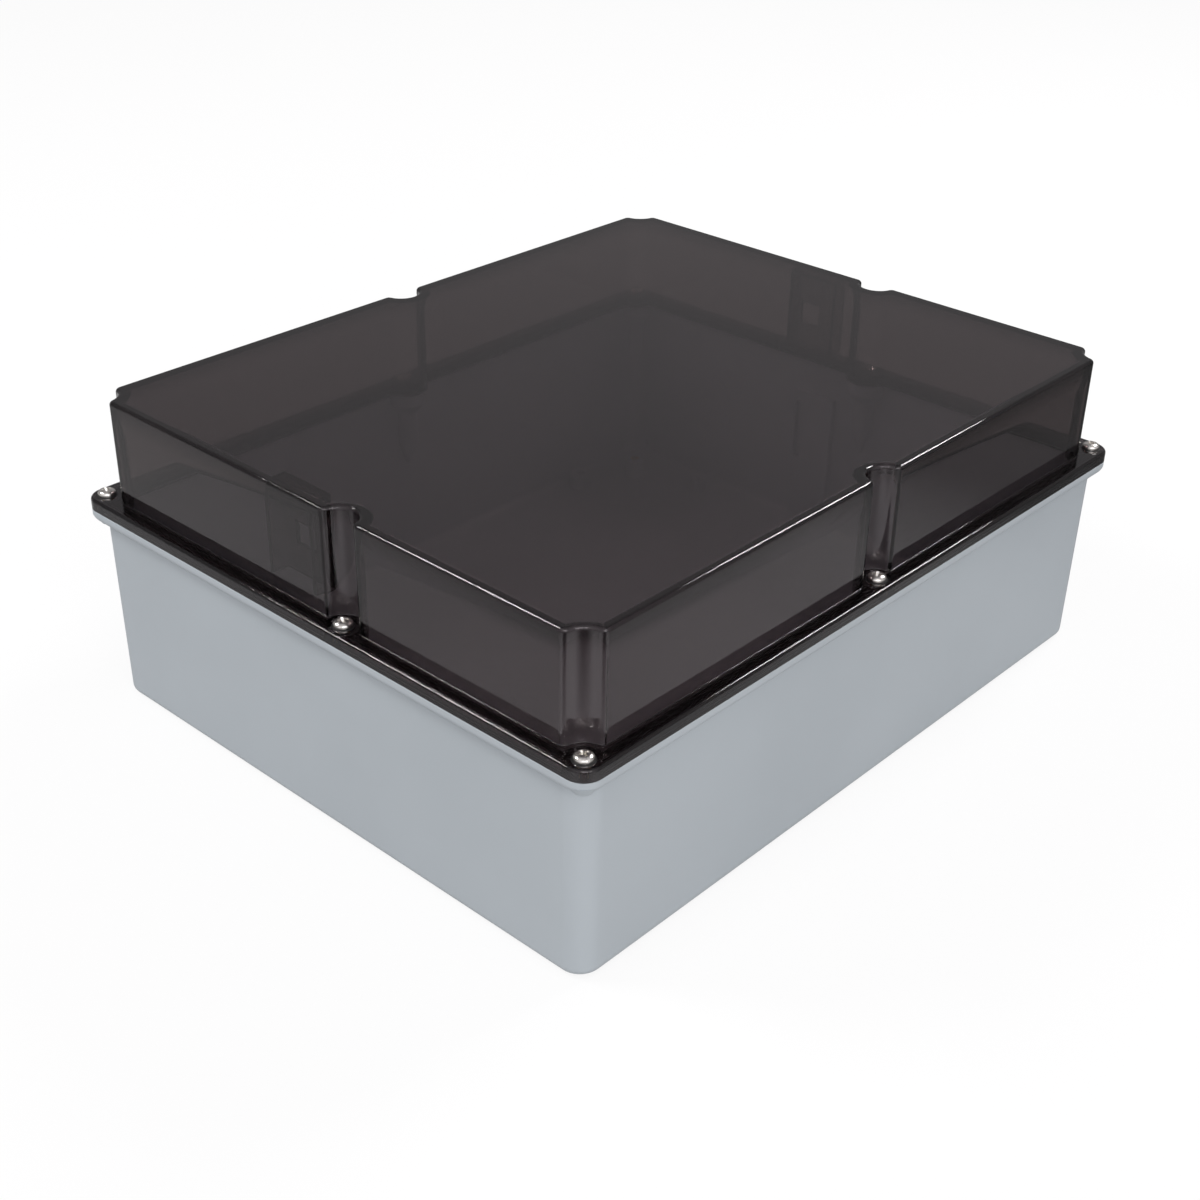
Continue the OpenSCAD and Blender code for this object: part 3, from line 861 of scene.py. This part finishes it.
def make_screw():
    length = FLANGE_TOP + 0.4 - SCREW_TIP
    rings = [thread_ring(SCREW_TIP + length * i / THREAD_RINGS, min(1.0, 0.25 + i / POINT_RINGS))
             for i in range(THREAD_RINGS + 1)]
    screw = stack("screw", rings)
    combine(screw, turned_post("head", (0, 0), [(r, FLANGE_TOP + z) for r, z in HEAD], 56), "UNION")
    recess = stack("recess", [(cross(1.2, 0.4), HEAD_TOP - 2.6), (cross(2.6, 0.62), HEAD_TOP - 0.3),
                              (cross(3.0, 0.85), HEAD_TOP + 0.3)])
    combine(screw, recess, "DIFFERENCE")
    settle(screw)
    return screw


pattern = make_screw()
for name, place, _, _ in SCREWS:
    deselect()
    screw = pattern.copy()
    screw.data = pattern.data.copy()
    screw.name = "pan_head_screw_" + name
    bpy.context.scene.collection.objects.link(screw)
    screw.matrix_world = (Matrix.Translation((place[0] * MM, place[1] * MM, 0))
                          @ Matrix.Rotation(0.35 + 1.1 * place[0] + 0.4 * place[1], 4, "Z"))
    dress(screw, steel, "screw_" + name, "lid_screw_" + name, slot="screw", angle=40)
bpy.data.objects.remove(pattern, do_unlink=True)

# %% [markdown]
# ## Strap pockets
# On both short sides a small pocket is welded inside the lid, under its
# ceiling, to hold the end of a strap.  It is open at the bottom and has a
# window in its face.  Cutting it to the lid's own hollow would be simplest,
# but two clear bodies that share a face confuse the light, so it is trimmed
# by a hollow that stands a hair clear of the lid.

# %% Pockets
CLEAR_GAP = 0.15
POCKET_R = 2.0
POCKET_WALL = 2.5
POCKET_EASE = 0.4
WINDOW_Y, WINDOW_Z = (12.0, 26.0), (151.0, 165.0)


def strap_pocket(name, side):
    """The pocket is made on the right and mirrored for the left side."""
    low, high = node_box_mm("strap_pocket_" + name)
    x0, x1 = sorted((abs(low[0]), abs(high[0])))
    y0, y1, z0, z1 = low[1], high[1], low[2], high[2]
    r, t = POCKET_R, POCKET_WALL
    outline = [(x1, y0), (x1, y1)]
    outline += arc((x0 + r, y1 - r), r, 90, 180, 6) + arc((x0 + r, y0 + r), r, 180, 270, 6)
    pocket = stack("strap_pocket_piece_" + name, [(outline, z0), (outline, z1)])
    room = box_block("room", (x0 + t, y0 + t, z0 - PAST), (x1 + PAST, y1 - t, z1 - t))
    combine(pocket, room, "DIFFERENCE")
    window = box_block("window", (x0 - PAST, WINDOW_Y[0], WINDOW_Z[0]),
                       (x0 + t + PAST, WINDOW_Y[1], WINDOW_Z[1]))
    combine(pocket, window, "DIFFERENCE")
    combine(pocket, hollow_block(CLEAR_GAP), "INTERSECT")
    ease_edges(pocket, POCKET_EASE)
    if side < 0:
        pocket.scale.x = -1
        settle(pocket)
        bpy.ops.object.mode_set(mode="EDIT")
        bpy.ops.mesh.select_all(action="SELECT")
        bpy.ops.mesh.normals_make_consistent(inside=False)
        bpy.ops.object.mode_set(mode="OBJECT")
    dress(pocket, smoke, "lid", "strap_pocket_" + name, slot="pocket")


strap_pocket("left", -1)
strap_pocket("right", 1)

# %% [markdown]
# ## The small parts as they are
# Washers, inserts, hinge pins and the seal bead are turned or moulded rings
# whose CAD shape is already right, and they hardly show.  Modelling them again
# would add nothing, so each CAD node stays and gets only its finish.

# %% Finishes of the CAD nodes
FINISHES = {"screw_washer": nitrile, "base_insert": brass, "plate_insert": brass,
            "hinge_pin": pin_steel, "lid_gasket": foam}

for start, finish in FINISHES.items():
    chosen = [node for name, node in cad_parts.items() if name.startswith(start)]
    for node in chosen:
        node.data.materials.clear()
        node.data.materials.append(finish)
    print(len(chosen), start, "in", finish.name)

# %% [markdown]
# ## The table
# A product stands on white paper that runs back out of sight.  Lit paper would
# throw its light up into the grey walls, so the sheet that lights the box is
# grey.  What the camera sees is a second sheet, white by its own glow, with a
# little diffuse light on top that carries the box's shadow.  Rays that have
# passed the clear lid see it dimmer, or the lid would look too light.

# %% Paper as the camera sees it
TABLE = 40.0
LIT_GREY = (0.45, 0.45, 0.45, 1.0)
SHADOW_GREY = (0.13, 0.13, 0.13, 1.0)
WHITE_GLOW = 0.86
THROUGH_LID_GLOW = 0.16

deselect()
bpy.ops.mesh.primitive_plane_add(size=TABLE, location=(0, 0, 0))
floor = bpy.context.object
floor.name = "floor"
paper, tree = new_material("studio_paper_white")
lit = add(tree, "ShaderNodeBsdfDiffuse", Color=LIT_GREY)
shadowed = add(tree, "ShaderNodeBsdfDiffuse", Color=SHADOW_GREY)
path = add(tree, "ShaderNodeLightPath")
place = add(tree, "ShaderNodeTexCoord").outputs["Object"]
print("paper", TABLE, "m wide")

# %% [markdown]
# ## The table as the gloss sees it
# Polished walls mirror the table in front of them, and a real table isn't
# evenly bright.  So a painted reflection goes into the glow that glossy rays
# see: a painted dark spot out in front of the corner stands for paper the lamps
# don't reach, a painted bright ring round it for lit paper, and further out a
# painted fall-off, fastest past the right-hand end.  An even glow would be
# simpler but would wash out the lid's walls, so this painted glow follows the
# distance from that dark spot.

# %% Paper as the gloss sees it
# painted reflection on the paper: centre of its painted dark spot, its glow by distance, and its painted
# fall-off
PAINTED_DARK_SPOT_CENTRE = (-0.45, -0.43, 0.0)
PAINTED_GLOW_BY_DISTANCE = ((0.08, 0.02), (0.2, 0.9), (0.26, 0.9), (0.42, 0.4))
PAINTED_FADE_X = (0.22, 0.37)
PAINTED_FADED_GLOW = 0.08

# painted reflection: a dark spot and a bright ring painted into the glow that glossy rays see
distance = add(tree, "ShaderNodeVectorMath", {0: place}, operation="DISTANCE")
distance.inputs[1].default_value = PAINTED_DARK_SPOT_CENTRE
painted_ring_glow = add(tree, "ShaderNodeValToRGB", {"Fac": distance.outputs["Value"]})
shades = painted_ring_glow.color_ramp.elements
for position, shade in PAINTED_GLOW_BY_DISTANCE:
    shades.new(position).color = (shade, shade, shade, 1.0)
shades.remove(shades[0])
shades.remove(shades[len(shades) - 1])
across = add(tree, "ShaderNodeSeparateXYZ", {0: place})
# painted fall-off of the reflected glow past the right-hand end
painted_fade = add(tree, "ShaderNodeMapRange", {"Value": across.outputs["X"]},
               From_Min=PAINTED_FADE_X[0], From_Max=PAINTED_FADE_X[1], To_Min=1.0, To_Max=PAINTED_FADED_GLOW)
painted_reflection = add(tree, "ShaderNodeMath", {0: painted_ring_glow.outputs["Color"], 1: painted_fade.outputs["Result"]},
               operation="MULTIPLY")
behind = add(tree, "ShaderNodeMix", {"Factor": path.outputs["Is Transmission Ray"],
                                     "A": painted_reflection.outputs[0]}, B=THROUGH_LID_GLOW)
strength = add(tree, "ShaderNodeMix", {"Factor": path.outputs["Is Camera Ray"],
                                       "A": behind.outputs["Result"]}, B=WHITE_GLOW)
glow = add(tree, "ShaderNodeEmission", {"Strength": strength.outputs["Result"]})
seen = add(tree, "ShaderNodeMath", {0: path.outputs["Is Camera Ray"], 1: path.outputs["Is Glossy Ray"]},
           operation="MAXIMUM")
seen = add(tree, "ShaderNodeMath", {0: seen.outputs[0], 1: path.outputs["Is Transmission Ray"]},
           operation="MAXIMUM")
white = add(tree, "ShaderNodeAddShader", {0: shadowed.outputs[0], 1: glow.outputs[0]})
sheet = add(tree, "ShaderNodeMixShader", {0: seen.outputs[0], 1: lit.outputs[0], 2: white.outputs[0]})
close_material(tree, sheet.outputs[0])
floor.data.materials.append(paper)
print("made", paper.name)

# %% [markdown]
# ## The room
# A studio is brighter on the side where its windows and white walls are.  The
# world is one soft gradient that rises towards the front left corner of the
# room, so that the two walls which face it are lit evenly and the lid's top
# mirrors the darker side.  An even sky would flatten both.

# %% World
TOWARDS_ROOM = (-0.66, -0.72, 0.2)
DIM_SIDE, BRIGHT_SIDE = 0.3, 1.08
SKY_COLOUR = (1.0, 0.97, 0.99, 1.0)

world = bpy.data.worlds.new("studio")
world.use_nodes = True
bpy.context.scene.world = world
sky = world.node_tree
outwards = add(sky, "ShaderNodeTexCoord").outputs["Generated"]
facing = add(sky, "ShaderNodeVectorMath", {0: outwards}, operation="DOT_PRODUCT")
facing.inputs[1].default_value = TOWARDS_ROOM
room = add(sky, "ShaderNodeMapRange", {"Value": facing.outputs["Value"]},
           From_Min=-0.1, From_Max=0.9, To_Min=DIM_SIDE, To_Max=BRIGHT_SIDE)
sky_path = add(sky, "ShaderNodeLightPath")
backdrop = add(sky, "ShaderNodeMix", {"Factor": sky_path.outputs["Is Camera Ray"],
                                      "A": room.outputs["Result"]}, B=1.0)
background = sky.nodes["Background"]
background.inputs["Color"].default_value = SKY_COLOUR
sky.links.new(backdrop.outputs["Result"], background.inputs["Strength"])
print("world from", DIM_SIDE, "to", BRIGHT_SIDE)

# %% [markdown]
# ## Lamps
# Three softboxes draw the highlights.  The large one in front lights the
# corner, and the two small ones stand high on the left and right, where the
# rolled edges mirror them as thin white lines.  Lower or larger lamps would
# give thick lines and bright patches at the foot of the lid's walls.

# %% Softboxes
AIM = Vector((0, 0, 0.1))


def softbox(name, place, size, power):
    data = bpy.data.lights.new(name, "AREA")
    data.shape = "RECTANGLE"
    data.size, data.size_y = size
    data.energy = power
    made = bpy.data.objects.new(name, data)
    made.location = place
    made.rotation_euler = (AIM - Vector(place)).to_track_quat("-Z", "Y").to_euler()
    bpy.context.scene.collection.objects.link(made)
    print(name, power, "W")


softbox("softbox_front", (-1.3, -2.0, 1.4), (2.0, 1.4), 18)
softbox("softbox_left", (-0.95, 1.25, 1.69), (0.7, 0.5), 17)
softbox("softbox_right", (1.52, -0.25, 1.58), (0.7, 0.5), 17)
bpy.context.scene.view_settings.view_transform = "Standard"
